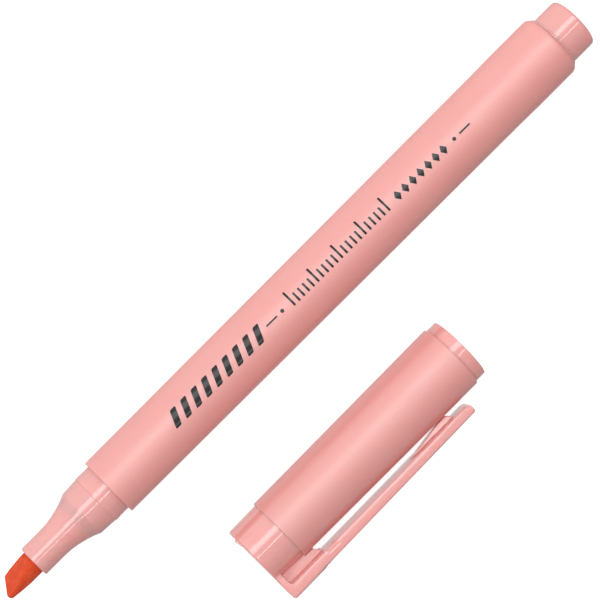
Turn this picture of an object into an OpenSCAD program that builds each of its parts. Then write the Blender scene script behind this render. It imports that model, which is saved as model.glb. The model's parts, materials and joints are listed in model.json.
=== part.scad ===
// Slim chisel-tip highlighter with a clip cap, cap off and lying beside the pen.
//
// X runs along the pen from nib (-X) to tail (+X) and Z is up. The origin is
// the middle of the lay-out on the surface that the pen and the cap lie on.
// Every turned part is drawn as a profile of [distance along its axis, radius].

/* [Barrel] */
// Length of the barrel tube, front face to rear end
barrel_len = 94.7; // [70:0.1:130]
// Diameter of the barrel at its front face
barrel_front_d = 9.96; // [8:0.02:13]
// Wall of the barrel at its front face
barrel_wall = 0.645; // [0.45:0.005:0.9]
// Growth of the barrel's radius from front face to rear rise
barrel_draft = 0.28; // [0:0.01:0.6]
// Length of the slightly raised rear band
band_len = 9.2; // [5:0.1:14]
// Length of the smooth rise ahead of the rear band
band_ramp = 2; // [0.5:0.1:4]
// Height of the rear band over the barrel
band_h = 0.06; // [0.02:0.01:0.2]
// Length of the barrel's rounded rear shoulder
shoulder_len = 1; // [0.5:0.05:2]
// Drop of the rounded rear shoulder
shoulder_drop = 0.55; // [0.3:0.01:0.7]

/* [Section and nib] */
// Diameter of the felt nib rod
nib_d = 4; // [3:0.1:5]
// Length of nib outside the nozzle, to the tip of the chisel
nib_out = 6.25; // [5:0.05:9]
// Angle of the chisel edge to the nib's axis
nib_slant = 68; // [45:1:80]
// Angle between each chisel flat and the middle plane
nib_wedge = 15; // [12:1:35]
// Width of the blunt land along the chisel edge
nib_land = 1.1; // [0.4:0.05:1.5]
// Rounding of the two ends of the chisel edge
nib_round = 0.5; // [0.2:0.05:0.9]
// Turn of the nib about its own axis
nib_roll = 51; // [0:1:90]
// Wall of the nozzle round the nib
nozzle_wall = 0.66; // [0.4:0.01:1]
// Length of the straight nozzle
nozzle_len = 4.2; // [3:0.1:7]
// Length of the concave flare behind the nozzle
flare_len = 5.9; // [4:0.1:9]
// Length of the collar behind the flare
collar_len = 2.82; // [2:0.02:5]
// Drop of the collar below the neck at its front end
collar_drop = 0.2; // [0.05:0.01:0.4]
// Length of the friction bead that the cap grips
bead_len = 1.05; // [0.6:0.05:2]
// Height of the friction bead over the neck
bead_h = 0.05; // [0.02:0.01:0.15]
// Length of the neck between bead and barrel
neck_len = 1.65; // [1:0.05:4]
// Step from the barrel's front face down to the neck
face_step = 0.68; // [0.55:0.01:1]
// Length of the section's spigot inside the barrel
spigot_len = 9; // [5:0.5:14]
// Distance that the ink chamber reaches forward of the collar
chamber_reach = 1; // [0.5:0.1:2]
// Wall of the section's collar and spigot
section_wall = 0.75; // [0.5:0.05:1]

/* [Ink filler] */
// Air gap between the filler's film and the barrel
filler_air = 0.22; // [0.1:0.01:0.5]
// Thickness of the film round the fibre filler
film_t = 0.12; // [0.08:0.01:0.3]
// Depth that the nib is pushed into the filler
nib_dip = 5; // [3:0.5:8]

/* [Tail plug] */
// Length of the plug outside its rim
plug_out = 4.5; // [2.5:0.1:7]
// Length of the plug's rim behind the barrel
rim_len = 0.3; // [0.2:0.05:1]
// Height of the plug's rim over the plug
rim_h = 0.42; // [0.2:0.01:0.45]
// Length of the plug's stub inside the barrel
stub_len = 8; // [5:0.5:12]
// Wall of the hollow plug
plug_wall = 0.9; // [0.6:0.05:1.2]
// Edge rounding of the plug's free end
plug_round = 0.6; // [0.2:0.05:0.9]

/* [Cap] */
// Length of the glossy crown outside the sleeve
crown_len = 5.67; // [4:0.01:9]
// Length of the matt sleeve
sleeve_len = 36.78; // [30:0.02:50]
// Wall of the sleeve at its crown end
sleeve_wall = 0.48; // [0.35:0.01:0.8]
// Growth of the sleeve's radius from crown to mouth
sleeve_draft = 0.19; // [0:0.01:0.4]
// Length of the glossy ring at the mouth
ring_len = 1.7; // [1:0.05:3]
// Width of the shadow groove between ring and sleeve
groove_len = 0.23; // [0.1:0.01:0.5]
// Height of the mouth ring over the liner tube
ring_h = 0.42; // [0.25:0.01:0.5]
// Wall of the liner tube
liner_wall = 0.54; // [0.4:0.01:0.8]
// Step from the sleeve down to the crown
crown_step = 0.29; // [0.1:0.01:0.4]
// Narrowing of the crown's radius towards its end
crown_draft = 0.08; // [0:0.01:0.2]
// Height of the small wedge on the crown's end face
tab_h = 0.34; // [0.1:0.02:0.5]
// Length of the crown's stub inside the sleeve
crown_stub_len = 5; // [3:0.5:8]
// Wall of the crown's hollow stub
crown_wall = 0.9; // [0.6:0.05:1.3]
// Wall of the seal cup round the nozzle
seal_wall = 0.7; // [0.5:0.05:0.9]
// Space between the nib's tip and the seal cup's floor
seal_room = 2; // [1:0.1:4]
// Distance of the liner's ledge from the rear of the nozzle, cap on
seal_inset = 1.2; // [0.8:0.1:2]
// Length of the liner behind the seal cup's floor
liner_extra = 2; // [1:0.1:4]

/* [Clip] */
// Width of the clip
clip_w = 5.4; // [4:0.1:7]
// Length of the clip from the crown's end
clip_len = 39.2; // [34:0.1:43]
// Gap between the sleeve's mouth end and the clip's inner face
clip_gap = 1.3; // [0.8:0.05:2]
// Thickness of the clip at its root
clip_root_t = 1.88; // [1.3:0.02:2.4]
// Thickness of the clip at its tip
clip_tip_t = 1.54; // [1:0.02:2]
// Lean of the clip towards the sleeve at its tip
clip_lean = 0.3; // [0:0.02:0.4]
// Height of the thicker pad at the clip's root
pad_h = 0.18; // [0.05:0.01:0.4]
// Length of the thicker pad from the crown's end
pad_len = 6.8; // [5:0.1:8]
// Thickness of the plate that joins clip and crown
end_plate_t = 1.12; // [0.8:0.02:1.8]
// Thickness of the web in the clip's middle plane
web_t = 1.2; // [0.8:0.1:2]
// Length of the web from the crown's end
web_len = 8.1; // [7:0.1:10]
// Height of the ridge along the clip's inner face
ridge_h = 0.14; // [0.05:0.01:0.3]
// Width of the grip nub
nub_w = 1.6; // [1:0.1:3]
// Distance from the crown's end to the middle of the grip nub
nub_at = 34.6; // [30:0.1:36]
// Length of the nub's flat top
nub_flat = 1.7; // [1:0.1:3]
// Length of the nub's long ramp
nub_ramp = 7.1; // [3:0.1:9]
// Length of the nub's short ramp
nub_back = 0.9; // [0.5:0.1:2]
// Length of the lead-in under the clip's tip
lead_len = 0.8; // [0.5:0.1:3]
// Height of the lead-in under the clip's tip
lead_h = 0.3; // [0.2:0.05:1]

/* [Lay-out] */
// Distance between the pen's axis and the cap's axis
cap_apart = 22.7; // [20:0.1:40]
// Distance from the barrel's front face to the cap's mouth
cap_park = 52.26; // [0:0.02:60]

/* [Fits] */
// Radial clearance of pieces pushed into the barrel and the cap
seat_clear = 0.03; // [0.01:0.01:0.06]
// Radial clearance between the cap's liner and the bead or the tail plug
cap_clear = 0.03; // [0.01:0.01:0.06]
// Radial clearance round the nib and the nozzle
nib_clear = 0.02; // [0.01:0.01:0.05]
// Clearance between the clip's blade and its root
flex_clear = 0.05; // [0.03:0.01:0.1]
// Clearance between the clip and the sleeve
clip_clear = 0.06; // [0.04:0.01:0.15]

/* [Hidden] */

$fn = 96;
ARC_STEPS = 8;      // straight steps in a rounded corner
FLARE_STEPS = 14;   // straight steps in the concave flare
OVER = 0.5;         // length by which a cut runs past what it cuts
FAR = 50;           // size of a half-space block, larger than any part

// Barrel
barrel_r = barrel_front_d / 2;
bore_r = barrel_r - barrel_wall;
barrel_rear_r = barrel_r + barrel_draft;
band_r = barrel_rear_r + band_h;

// Section: its neck and bead set the size of the cap and of the tail plug
neck_r = barrel_r - face_step;
fit_r = neck_r + bead_h;
collar_r = neck_r - collar_drop;
nib_r = nib_d / 2;
nozzle_r = nib_r + nozzle_wall;
spigot_r = bore_r - seat_clear;
chamber_r = spigot_r - section_wall;
flare_rise = collar_r - nozzle_r;
flare_arc_r = (flare_len * flare_len + flare_rise * flare_rise) / (2 * flare_rise);
nose_len = nozzle_len + flare_len + collar_len + bead_len + neck_len;

// Stations along X
pen_len = nib_out + nose_len + barrel_len + rim_len + plug_out;
x_tip = -pen_len / 2;
x_nozzle = x_tip + nib_out;
x_face = x_nozzle + nose_len;
x_spigot = x_face + spigot_len;
x_end = x_face + barrel_len;
x_stub = x_end - stub_len;

// Filler
film_r = bore_r - filler_air;
core_r = film_r - film_t;
filler_len = x_stub - x_spigot;

// Cap, measured from the crown's end face towards the mouth
cap_len = crown_len + sleeve_len + groove_len + ring_len;
liner_bore_r = fit_r + cap_clear;
liner_r = liner_bore_r + liner_wall;
ring_r = liner_r + ring_h;
sleeve_bore_r = liner_r + seat_clear;
sleeve_r0 = sleeve_bore_r + sleeve_wall;
sleeve_r1 = sleeve_r0 + sleeve_draft;
crown_r = sleeve_r0 - crown_step;
crown_stub_r = sleeve_bore_r - seat_clear;
x_cap = x_face + cap_park - cap_len;

// Seal cup: its place in the cap is where the nozzle comes when the cap is on
seal_bore_r = nozzle_r + nib_clear;
seal_r = seal_bore_r + seal_wall;
seal_front = cap_len - (nose_len - nozzle_len) - seal_inset;
seal_back = cap_len - (nose_len + nib_out) - seal_room;
ledge_t = 0.8;
ledge_room = 0.25;
flange_t = 1;
liner_back = seal_back - liner_extra;

// Clip, as heights over the cap's axis
clip_in = sleeve_r1 + clip_gap;
clip_out = clip_in + clip_root_t;
tip_in = clip_in - clip_lean;
tip_out = tip_in + clip_tip_t;
pad_out = clip_out + pad_h;
flex_r = 1.25;
flex_u = web_len + flex_r + 0.1;
flex_v = clip_in + clip_root_t / 2;
corner_r = 0.5;
web_scoop = 0.62;   // radius of the web's hollow end over the gap that it fills
ridge_margin = 0.3; // distance of the ridge's foot from the clip's edges
SUNK = 0.05;        // depth by which a ridge is sunk into its face
nub_sunk = 0.3;     // depth by which the nub is sunk into the clip

// Wedge on the crown's end face: its width and its two distances from the axis
tab_w = 1.2;
tab_near = 1.9;
tab_far = 3.5;

// Places of the two axes
z_pen = band_r;
z_cap = sleeve_r1;
y_pen = (cap_apart + pad_out - band_r) / 2;
y_cap = y_pen - cap_apart;

// Points of an arc about [cx, cy] from angle a to angle b
function arc(cx, cy, r, a, b, steps = ARC_STEPS) =
    [for (i = [0:steps]) let (t = a + (b - a) * i / steps) [cx + r * cos(t), cy + r * sin(t)]];

// Points of a quarter of an ellipse about [cx, cy], from its top to its end
function quarter(cx, cy, rx, ry) =
    [for (i = [0:ARC_STEPS]) let (t = 90 - 90 * i / ARC_STEPS) [cx + rx * cos(t), cy + ry * sin(t)]];

// Radius of the sleeve at a distance u from the crown's end face
function sleeve_r(u) = sleeve_r0 + sleeve_draft * (u - crown_len) / sleeve_len;

// Height of the clip's inner and outer face at a distance u
function clip_lo(u) = clip_in - clip_lean * u / clip_len;
function clip_hi(u) = clip_out + (tip_out - clip_out) * u / clip_len;

// Solid turned about the X axis from points [along X, radius]
module turned(points) {
    rotate([0, 90, 0])
        rotate_extrude()
            polygon([for (p = points) [p[1], p[0]]]);
}

// Places a part on the pen's axis, or on the cap's with its u axis along X
module on_pen() translate([0, y_pen, z_pen]) children();
module on_cap() translate([x_cap, y_cap, z_cap]) children();

// Slab whose outline is drawn in [u, height over the cap's axis]; the clip
// points to -Y, and the slab's thickness is centred on the clip's middle plane
module clip_slab(thickness) {
    mirror([0, 1, 0])
        translate([0, 0, -thickness / 2])
            linear_extrude(height = thickness)
                children();
}

module barrel() color("lightpink") on_pen() {
    edge = 0.12;
    x_band = x_end - band_len;
    turned(concat(
        [[x_face, bore_r], [x_face, barrel_r - edge], [x_face + edge, barrel_r],
         [x_band - band_ramp, barrel_rear_r], [x_band, band_r]],
        quarter(x_end - shoulder_len, band_r - shoulder_drop, shoulder_len, shoulder_drop),
        [[x_end, bore_r]]));
}

module section() color("pink") on_pen() {
    edge = 0.12;
    x_flare = x_nozzle + nozzle_len;
    x_collar = x_flare + flare_len;
    x_bead = x_collar + collar_len;
    x_neck = x_bead + bead_len;
    sweep = asin(flare_len / flare_arc_r);
    x_chamber = x_collar - chamber_reach;
    turned(concat(
        [[x_nozzle, nib_r + nib_clear], [x_nozzle, nozzle_r - edge], [x_nozzle + edge, nozzle_r]],
        arc(x_flare, nozzle_r + flare_arc_r, flare_arc_r, -90, -90 + sweep, FLARE_STEPS),
        [[x_bead, neck_r - bead_h], [x_bead + bead_h, fit_r], [x_neck - bead_h, fit_r], [x_neck, neck_r],
         [x_face, neck_r], [x_face, spigot_r], [x_spigot, spigot_r], [x_spigot, chamber_r],
         [x_chamber, chamber_r], [x_chamber - (chamber_r - nib_r) / 2, nib_r + nib_clear]]));
}

// Everything outside one flat of the chisel: the flat starts at the land of the
// chisel edge and opens by the wedge angle behind it
module flat_cut(side) {
    rotate([0, 0, nib_slant - 90])
        translate([0, 0, side * nib_land / 2])
            rotate([0, -side * nib_wedge, 0])
                translate([-FAR / 2, -FAR / 2, side > 0 ? 0 : -FAR])
                    cube(FAR);
}

// Outline of the nib in the plane of its chisel edge, with two rounded corners
module nib_outline(len) {
    r = nib_round;
    back = r + 2 * (nib_r - r) / tan(nib_slant);
    polygon(concat(
        arc(r, r - nib_r, r, 270, 90 + nib_slant),
        arc(back, nib_r - r, r, 90 + nib_slant, 90),
        [[len, nib_r], [len, -nib_r]]));
}

module nib() color("orangered") on_pen() {
    nib_len = nib_out + nose_len + spigot_len + nib_dip;
    edge_x = nib_round - nib_round / sin(nib_slant) - (nib_round - nib_r) / tan(nib_slant);
    translate([x_tip, 0, 0]) rotate([-nib_roll, 0, 0]) difference() {
        intersection() {
            rotate([0, 90, 0]) cylinder(r = nib_r, h = nib_len);
            translate([0, 0, -nib_d]) linear_extrude(height = 2 * nib_d) nib_outline(nib_len);
        }
        translate([edge_x, 0, 0]) {
            flat_cut(1);
            flat_cut(-1);
        }
    }
}

module filler_core() color("tomato") on_pen() difference() {
    translate([x_spigot, 0, 0]) rotate([0, 90, 0]) cylinder(r = core_r, h = filler_len);
    translate([x_spigot - OVER, 0, 0])
        rotate([0, 90, 0]) cylinder(r = nib_r, h = nib_dip + OVER);
}

module filler_film() color("white") on_pen()
    turned([[x_spigot, core_r], [x_spigot, film_r], [x_stub, film_r], [x_stub, core_r]]);

module tail_plug() color("pink") on_pen() {
    edge = 0.15;
    relief = 0.25;   // undercut at the root of the spigot
    rim_r = fit_r + rim_h;
    x_plug = x_end + rim_len;
    x_tail = x_plug + plug_out;
    plug_bore_r = spigot_r - plug_wall;
    turned(concat(
        [[x_stub, plug_bore_r], [x_stub, spigot_r], [x_end - relief, spigot_r],
         [x_end, spigot_r - relief], [x_end, rim_r],
         [x_plug - edge, rim_r], [x_plug, rim_r - edge], [x_plug, fit_r]],
        arc(x_tail - plug_round, fit_r - plug_round, plug_round, 90, 0),
        [[x_tail, 0], [x_tail - plug_wall, 0], [x_tail - plug_wall, plug_bore_r]]));
}

module cap_sleeve() color("lightpink") on_cap() {
    edge = 0.15;
    u_end = crown_len + sleeve_len;
    turned([[crown_len, sleeve_bore_r], [crown_len, sleeve_r0 - edge], [crown_len + edge, sleeve_r0],
            [u_end - edge, sleeve_r1], [u_end, sleeve_r1 - edge], [u_end, sleeve_bore_r]]);
}

module cap_liner() color("pink") on_cap() {
    edge = 0.3;
    u_ring = cap_len - ring_len;
    ledge_r = seal_bore_r + ledge_room;
    turned(concat(
        [[liner_back, liner_bore_r], [liner_back, liner_r], [u_ring, liner_r], [u_ring, ring_r]],
        arc(cap_len - edge, ring_r - edge, edge, 90, 0),
        [[cap_len, liner_bore_r + edge / 2], [cap_len - edge / 2, liner_bore_r],
         [seal_front, liner_bore_r], [seal_front, ledge_r],
         [seal_front - ledge_t, ledge_r], [seal_front - ledge_t, liner_bore_r]]));
}

module seal_cup() color("mistyrose") on_cap() {
    u_flange = seal_front - ledge_t;
    turned([[seal_back - seal_wall, 0], [seal_back - seal_wall, seal_r], [u_flange - flange_t, seal_r],
            [u_flange - flange_t, liner_bore_r - seat_clear], [u_flange, liner_bore_r - seat_clear],
            [u_flange, seal_bore_r], [seal_back, seal_bore_r], [seal_back, 0]]);
}

// Outline of the clip's bar between two distances from the crown's end face
module bar_outline(u0, u1)
    polygon([[u0, clip_lo(u0)], [u1, clip_lo(u1)], [u1, clip_hi(u1)], [u0, clip_hi(u0)]]);

// Ridge along the middle of the clip's inner face
module bar_ridge(u0, u1) {
    half = clip_w / 2 - ridge_margin;
    mirror([0, 1, 0])
        translate([u0, clip_lo(u0), 0])
            rotate([0, 0, -atan(clip_lean / clip_len)])
                rotate([90, 0, 90])
                    linear_extrude(height = u1 - u0)
                        polygon([[SUNK, -half], [SUNK, half], [-ridge_h, 0]]);
}

module clip_root() {
    clip_slab(clip_w) difference() {
        union() {
            polygon(concat(
                [[0, 0], [end_plate_t, 0], [end_plate_t, clip_lo(0)], [pad_len, clip_lo(pad_len)],
                 [pad_len, pad_out]],
                arc(corner_r, pad_out - corner_r, corner_r, 90, 180)));
            bar_outline(pad_len - OVER, flex_u);
        }
        translate([flex_u, flex_v]) circle(r = flex_r + flex_clear);
    }
    clip_slab(web_t) {
        over_sleeve = sleeve_r(web_len) + clip_clear;
        rise = clip_lo(web_len) - over_sleeve;
        polygon(concat(
            [[end_plate_t - OVER, crown_r - OVER], [crown_len - clip_clear, crown_r - OVER],
             [crown_len - clip_clear, over_sleeve]],
            arc(web_len, over_sleeve, rise * web_scoop, 180, 90, ARC_STEPS),
            [[web_len, clip_lo(web_len) + OVER], [end_plate_t - OVER, clip_lo(0) + OVER]]));
    }
}

module cap_crown() color("pink") on_cap() {
    edge = 0.35;
    u_stub = crown_len + crown_stub_len;
    stub_bore_r = crown_stub_r - crown_wall;
    difference() {
        union() {
            turned(concat(
                [[0, 0]],
                arc(edge, crown_r - crown_draft - edge, edge, 180, 90),
                [[crown_len, crown_r], [crown_len, crown_stub_r], [u_stub, crown_stub_r], [u_stub, 0]]));
            clip_root();
            // small wedge left standing on the crown's end face
            clip_slab(tab_w)
                polygon([[OVER, -tab_near], [0, -tab_near], [-tab_h, -tab_far], [OVER, -tab_far]]);
        }
        translate([crown_wall, 0, 0])
            rotate([0, 90, 0]) cylinder(r = stub_bore_r, h = u_stub - crown_wall + OVER);
    }
}

module clip_blade() color("pink") on_cap() {
    u_lead = clip_len - lead_len;
    clip_slab(clip_w) difference() {
        union() {
            intersection() {
                bar_outline(flex_u - 2 * flex_r, flex_u);
                translate([flex_u, flex_v]) circle(r = flex_r);
            }
            bar_outline(flex_u, clip_len);
        }
        // lead-in under the tip, and its rounded outer corner
        polygon([[u_lead, tip_in - OVER], [u_lead, clip_lo(u_lead)],
                 [clip_len + OVER, tip_in + lead_h], [clip_len + OVER, tip_in - OVER]]);
        translate([clip_len - corner_r, tip_out - corner_r]) difference() {
            square(corner_r + OVER);
            circle(r = corner_r);
        }
    }
    bar_ridge(flex_u + flex_r, u_lead);
    nub_u0 = nub_at - nub_flat / 2;
    nub_u1 = nub_at + nub_flat / 2;
    nub_top = sleeve_r(nub_u1) + clip_clear;
    clip_slab(nub_w) polygon([
        [nub_u0 - nub_ramp, clip_lo(nub_at)], [nub_u0, nub_top], [nub_u1, nub_top],
        [nub_u1 + nub_back, clip_lo(nub_at)], [nub_u1, clip_in + nub_sunk],
        [nub_u0 - nub_ramp, clip_in + nub_sunk]]);
}

barrel();
section();
nib();
filler_core();
filler_film();
tail_plug();
cap_sleeve();
cap_liner();
seal_cup();
cap_crown();
clip_blade();
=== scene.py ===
"""Looks of a slim chisel-tip highlighter whose clip cap lies beside the pen.

Every piece is modelled in millimetres in the frame of its own sub-assembly, whose X axis is the axis
that its round parts are turned about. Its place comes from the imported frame, and the mesh is brought
to metres as the last step.
"""

import json
import logging
import math
from dataclasses import dataclass, field
from enum import Enum
from typing import Sequence

import bmesh
import bpy
from mathutils import Matrix, Vector, noise

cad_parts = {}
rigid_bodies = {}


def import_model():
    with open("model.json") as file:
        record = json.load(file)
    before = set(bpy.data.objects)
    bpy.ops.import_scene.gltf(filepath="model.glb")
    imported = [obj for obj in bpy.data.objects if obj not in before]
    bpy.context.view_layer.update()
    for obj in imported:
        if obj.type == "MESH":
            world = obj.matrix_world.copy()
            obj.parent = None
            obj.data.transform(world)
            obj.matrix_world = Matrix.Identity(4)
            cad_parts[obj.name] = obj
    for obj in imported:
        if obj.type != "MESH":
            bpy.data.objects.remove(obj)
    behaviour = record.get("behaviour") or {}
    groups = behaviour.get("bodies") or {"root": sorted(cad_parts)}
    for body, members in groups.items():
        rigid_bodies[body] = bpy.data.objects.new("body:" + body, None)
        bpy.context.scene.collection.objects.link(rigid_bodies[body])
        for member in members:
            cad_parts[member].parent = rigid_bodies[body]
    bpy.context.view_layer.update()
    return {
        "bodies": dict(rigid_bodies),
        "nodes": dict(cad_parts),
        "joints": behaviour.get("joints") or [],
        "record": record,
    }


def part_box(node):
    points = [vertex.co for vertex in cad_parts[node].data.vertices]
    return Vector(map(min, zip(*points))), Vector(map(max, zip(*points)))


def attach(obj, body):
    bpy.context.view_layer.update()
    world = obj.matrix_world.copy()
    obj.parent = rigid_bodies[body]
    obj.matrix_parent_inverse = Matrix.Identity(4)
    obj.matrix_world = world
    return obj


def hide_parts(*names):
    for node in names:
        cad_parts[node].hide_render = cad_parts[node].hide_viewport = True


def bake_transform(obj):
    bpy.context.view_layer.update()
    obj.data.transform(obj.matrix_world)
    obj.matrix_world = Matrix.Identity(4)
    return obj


LOG = logging.getLogger("highlighter")

MM = 0.001             # one millimetre in metres
TURN_STEPS = 160       # straight steps round a turned part
ROUND_STEPS = 5        # straight steps in a rounded corner
WELD = 1e-4            # vertices closer than this, in millimetres, are one
SHARP_DEG = 33.0       # an edge whose faces meet at more than this is shaded as an edge
WHITE = (1.0, 1.0, 1.0, 1.0)
MIX_FIRST = 6          # sockets of the Mix node that take and give colours
MIX_SECOND = 7
MIX_RESULT = 2

Colour = tuple[float, float, float]
Size3 = tuple[float, float, float]


class Body(Enum):
    """The moving bodies of the frame."""

    PEN = "pen"
    CAP = "cap"
    CLIP = "clip"


class Slot(Enum):
    """The material slots of the record."""

    MATT_SHELL = "matt_shell"
    GLOSS_SHELL = "gloss_shell"
    GLOSS_CLIP = "gloss_clip"
    INKED_FELT = "inked_felt"
    INKED_FIBRE = "inked_fibre"
    FILM = "film"
    SEAL = "seal"
    PRINT_INK = "print_ink"


# ---------------------------------------------------------------- finishes


class NodeBench:
    """Adds and links the nodes of one material, on Object coordinates."""

    def __init__(self, name: str) -> None:
        """Starts a material that holds a Principled shader.

        Args:
            name: the material's name.
        """
        self.material = bpy.data.materials.new(name)
        self.material.use_nodes = True
        self.tree = self.material.node_tree
        self.tree.nodes.clear()
        self.shader = self.add("ShaderNodeBsdfPrincipled")
        output = self.add("ShaderNodeOutputMaterial")
        self.tree.links.new(self.shader.outputs["BSDF"], output.inputs["Surface"])
        self.coords = self.add("ShaderNodeTexCoord").outputs["Object"]

    def add(self, kind: str, **settings: object) -> bpy.types.Node:
        """Adds a node.

        Args:
            kind: the node's type.
            settings: properties to set on it.

        Returns:
            The new node.
        """
        node = self.tree.nodes.new(kind)
        for key, value in settings.items():
            setattr(node, key, value)
        return node

    def wire(self, source: bpy.types.NodeSocket, node: bpy.types.Node, socket: str | int) -> None:
        """Links an output to a node's input."""
        self.tree.links.new(source, node.inputs[socket])

    def feed(self, source: bpy.types.NodeSocket, socket: str) -> None:
        """Links an output to an input of the Principled shader."""
        self.wire(source, self.shader, socket)

    def set(self, **values: object) -> None:
        """Sets uniform values on the Principled shader's own sockets.

        Args:
            values: socket names, with underscores for spaces, and their values.
        """
        for key, value in values.items():
            self.shader.inputs[key.replace("_", " ")].default_value = value

    def noise(self, cell: Size3, detail: float = 2.0, roughness: float = 0.5,
              distortion: float = 0.0) -> bpy.types.NodeSocket:
        """Adds a noise pattern.

        Args:
            cell: size of the pattern's cells along X, Y and Z, in millimetres.
            detail: octaves of finer noise.
            roughness: strength of the finer octaves.
            distortion: how far the pattern is warped.

        Returns:
            The pattern's grey output.
        """
        mapping = self.add("ShaderNodeMapping")
        mapping.inputs["Scale"].default_value = [1 / (c * MM) for c in cell]
        self.wire(self.coords, mapping, "Vector")
        pattern = self.add("ShaderNodeTexNoise")
        pattern.inputs["Scale"].default_value = 1.0
        pattern.inputs["Detail"].default_value = detail
        pattern.inputs["Roughness"].default_value = roughness
        pattern.inputs["Distortion"].default_value = distortion
        self.wire(mapping.outputs["Vector"], pattern, "Vector")
        return pattern.outputs["Fac"]

    def remap(self, source: bpy.types.NodeSocket, low: float, high: float,
              start: float = 0.3, end: float = 0.7) -> bpy.types.NodeSocket:
        """Maps a grey value to a new range, clamped.

        Args:
            source: the value.
            low: result at start.
            high: result at end.
            start: value that gives low.
            end: value that gives high.

        Returns:
            The mapped value.
        """
        node = self.add("ShaderNodeMapRange", clamp=True)
        for socket, value in (("From Min", start), ("From Max", end), ("To Min", low), ("To Max", high)):
            node.inputs[socket].default_value = value
        self.wire(source, node, "Value")
        return node.outputs["Result"]

    def blend(self, factor: bpy.types.NodeSocket, first: Colour | bpy.types.NodeSocket,
              second: Colour) -> bpy.types.NodeSocket:
        """Mixes two colours.

        Args:
            factor: share of the second colour.
            first: the first colour, or an output that gives it.
            second: the second colour.

        Returns:
            The mixed colour.
        """
        node = self.add("ShaderNodeMix", data_type="RGBA")
        self.wire(factor, node, 0)
        if isinstance(first, tuple):
            node.inputs[MIX_FIRST].default_value = (*first, 1.0)
        else:
            self.wire(first, node, MIX_FIRST)
        node.inputs[MIX_SECOND].default_value = (*second, 1.0)
        return node.outputs[MIX_RESULT]

    def math(self, operation: str, first: bpy.types.NodeSocket,
             second: bpy.types.NodeSocket) -> bpy.types.NodeSocket:
        """Combines two values with a Math node.

        Args:
            operation: the Math node's operation.
            first: the first value.
            second: the second value.

        Returns:
            The combined value.
        """
        node = self.add("ShaderNodeMath", operation=operation)
        self.wire(first, node, 0)
        self.wire(second, node, 1)
        return node.outputs[0]

    def bump(self, heights: Sequence[tuple[bpy.types.NodeSocket, float, float]]) -> None:
        """Chains Bump nodes into the shader's normal.

        Args:
            heights: for each bump its pattern, its strength and its depth in millimetres.
        """
        normal = None
        for pattern, strength, depth in heights:
            node = self.add("ShaderNodeBump")
            node.inputs["Strength"].default_value = strength
            node.inputs["Distance"].default_value = depth * MM
            self.wire(pattern, node, "Height")
            if normal is not None:
                self.wire(normal, node, "Normal")
            normal = node.outputs["Normal"]
        self.feed(normal, "Normal")


@dataclass(frozen=True)
class MouldedPlastic:
    """Coloured plastic with a moulded skin, faint flow clouds and light handling marks."""

    name: str
    colour: Colour            # colour of the resin
    cloud: Colour             # colour where the pigment is denser
    rub: Colour               # colour of a rubbed spot
    gloss_low: float          # roughness where the skin is best
    gloss_high: float         # roughness where it is dullest
    grain_cell: float         # size of the skin's grain in millimetres
    grain_depth: float        # depth of the grain in millimetres
    grain_strength: float     # strength of the grain's bump
    scatter: float            # share of light that goes through the resin
    ripple: float             # strength of the bump of the resin's flow
    ior: float = 1.5
    specular: float = 0.5     # strength of the plain reflection

    def make(self) -> bpy.types.Material:
        """Builds the material.

        Returns:
            The new material.
        """
        bench = NodeBench(self.name)
        bench.set(IOR=self.ior, Subsurface_Weight=self.scatter, Subsurface_Radius=(1.0, 0.30, 0.22),
                  Subsurface_Scale=1.7 * MM, Specular_IOR_Level=self.specular)
        clouds = bench.noise((9.0, 5.0, 5.0), detail=3.0, roughness=0.55)
        flow = bench.noise((3.0, 0.8, 0.8), detail=2.0, distortion=0.6)
        grain = bench.noise((self.grain_cell,) * 3, detail=3.0, roughness=0.6)
        scuffs = bench.noise((2.6, 0.16, 0.16), detail=4.0, roughness=0.7, distortion=0.4)
        rubbed = bench.remap(scuffs, 0.0, 0.35, 0.66, 0.78)
        base = bench.blend(bench.remap(clouds, 0.0, 1.0), self.colour, self.cloud)
        bench.feed(bench.blend(rubbed, base, self.rub), "Base Color")
        skin = bench.remap(flow, self.gloss_low, self.gloss_high)
        bench.feed(bench.math("ADD", skin, bench.remap(scuffs, 0.0, 0.09, 0.62, 0.8)), "Roughness")
        bench.bump([(flow, self.ripple, 0.02), (grain, self.grain_strength, self.grain_depth)])
        return bench.material


@dataclass(frozen=True)
class InkedFibre:
    """Bonded fibres that run along X and hold ink."""

    name: str
    wet: Colour               # colour where the fibres hold the most ink
    dry: Colour               # colour where they hold the least
    strand: float             # thickness of a strand in millimetres
    depth: float              # depth between strands in millimetres
    scatter: float            # share of light that goes through the fibres

    def make(self) -> bpy.types.Material:
        """Builds the material.

        Returns:
            The new material.
        """
        bench = NodeBench(self.name)
        bench.set(IOR=1.4, Subsurface_Weight=self.scatter, Subsurface_Radius=(1.0, 0.25, 0.12),
                  Subsurface_Scale=0.5 * MM, Sheen_Weight=0.08, Sheen_Roughness=0.5,
                  Specular_IOR_Level=0.35)
        strands = bench.noise((self.strand * 9, self.strand, self.strand), detail=4.0, roughness=0.7,
                              distortion=0.8)
        felt = bench.noise((self.strand * 1.6,) * 3, detail=5.0, roughness=0.75)
        patches = bench.noise((1.8, 0.9, 0.9), detail=2.0)
        tone = bench.math("ADD", bench.remap(strands, 0.0, 0.5), bench.remap(patches, 0.0, 0.5))
        bench.feed(bench.blend(tone, self.wet, self.dry), "Base Color")
        bench.feed(bench.remap(felt, 0.62, 0.95), "Roughness")
        bench.bump([(strands, 0.5, self.depth), (felt, 0.6, self.depth * 0.7)])
        return bench.material


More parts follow.
